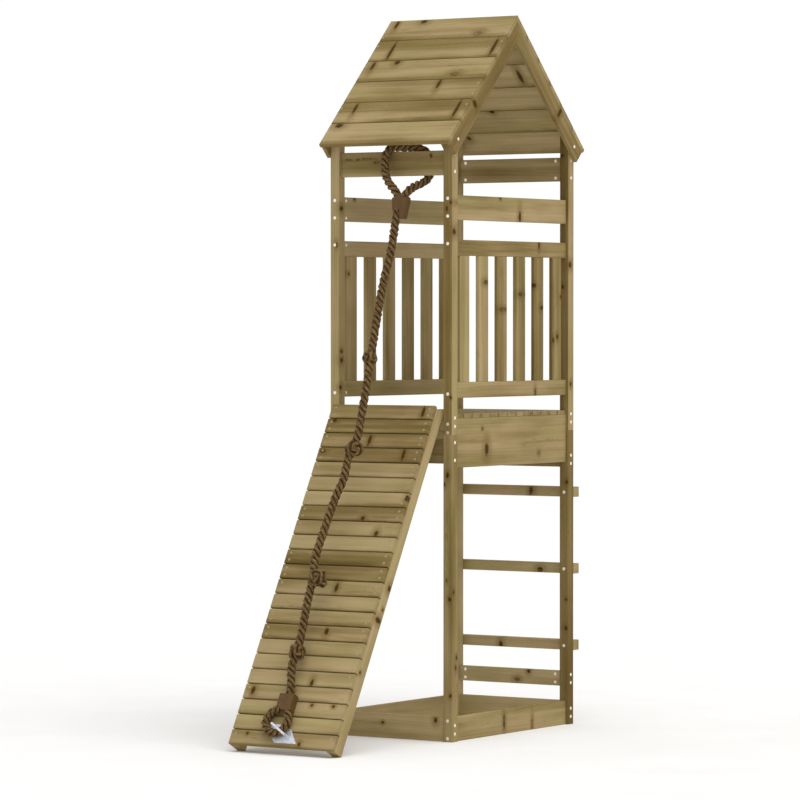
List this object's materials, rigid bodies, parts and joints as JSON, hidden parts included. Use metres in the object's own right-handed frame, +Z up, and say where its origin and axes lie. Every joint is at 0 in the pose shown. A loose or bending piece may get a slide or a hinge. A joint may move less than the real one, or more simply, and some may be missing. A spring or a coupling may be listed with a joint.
{
  "type": "wooden climbing frame",
  "caption": "Wooden play tower: gable roof over a railed deck, ladder rungs at the back, and a planked climbing ramp with a knotted rope in front.",
  "frame": {"origin": "on the ground, under the centre of the box that holds the tower, the ramp and the eye plate", "axes": "+Z up; the ramp and rope face -Y, the ladder +Y, and the gables -X and +X"},
  "size_m": [0.436, 1.273, 2.065],
  "materials": {
    "post_timber": "planed, pressure-treated pine",
    "board_timber": "planed, pressure-treated pine",
    "plank_timber": "planed, pressure-treated pine with knots",
    "rope": "laid fibre rope",
    "clamp_plastic": "moulded",
    "zinc": "zinc plated"
  },
  "bodies": {
    "root": {"front_left_lower_post": "post_timber", "front_right_lower_post": "post_timber", "back_left_lower_post": "post_timber", "back_right_lower_post": "post_timber", "front_left_upper_post": "post_timber", "front_right_upper_post": "post_timber", "back_left_upper_post": "post_timber", "back_right_upper_post": "post_timber", "front_base_board": "board_timber", "back_base_board": "board_timber", "left_base_board": "board_timber", "right_base_board": "board_timber", "ladder_brace": "board_timber", "low_rung": "board_timber", "middle_rung": "board_timber", "high_rung": "board_timber", "left_deck_board": "board_timber", "right_deck_board": "board_timber", "front_deck_rail": "board_timber", "back_deck_rail": "board_timber", "front_deck_board": "board_timber", "back_lower_rail": "board_timber", "deck_planks": "plank_timber", "left_side_rail": "board_timber", "right_side_rail": "board_timber", "front_top_rail": "board_timber", "back_top_rail": "board_timber", "left_panel_top_rail": "board_timber", "left_panel_bottom_rail": "board_timber", "left_panel_slats": "board_timber", "right_panel_top_rail": "board_timber", "right_panel_bottom_rail": "board_timber", "right_panel_slats": "board_timber", "front_left_barge": "board_timber", "front_right_barge": "board_timber", "back_left_barge": "board_timber", "back_right_barge": "board_timber", "front_roof_planks": "plank_timber", "back_roof_planks": "plank_timber", "left_stringer": "post_timber", "right_stringer": "post_timber", "ramp_planks": "plank_timber", "rope_noose": "rope", "upper_clamp": "clamp_plastic", "rope_run": "rope", "lower_clamp": "clamp_plastic", "rope_eye": "rope", "eye_plate": "zinc", "frame_bolts": "zinc", "barrel_nuts": "zinc", "rung_screws": "zinc", "barge_screws": "zinc", "roof_screws": "zinc", "deck_screws": "zinc", "panel_screws": "zinc", "ramp_screws": "zinc", "ramp_fixing_screws": "zinc", "plate_screws": "zinc"}
  },
  "joints": []
}
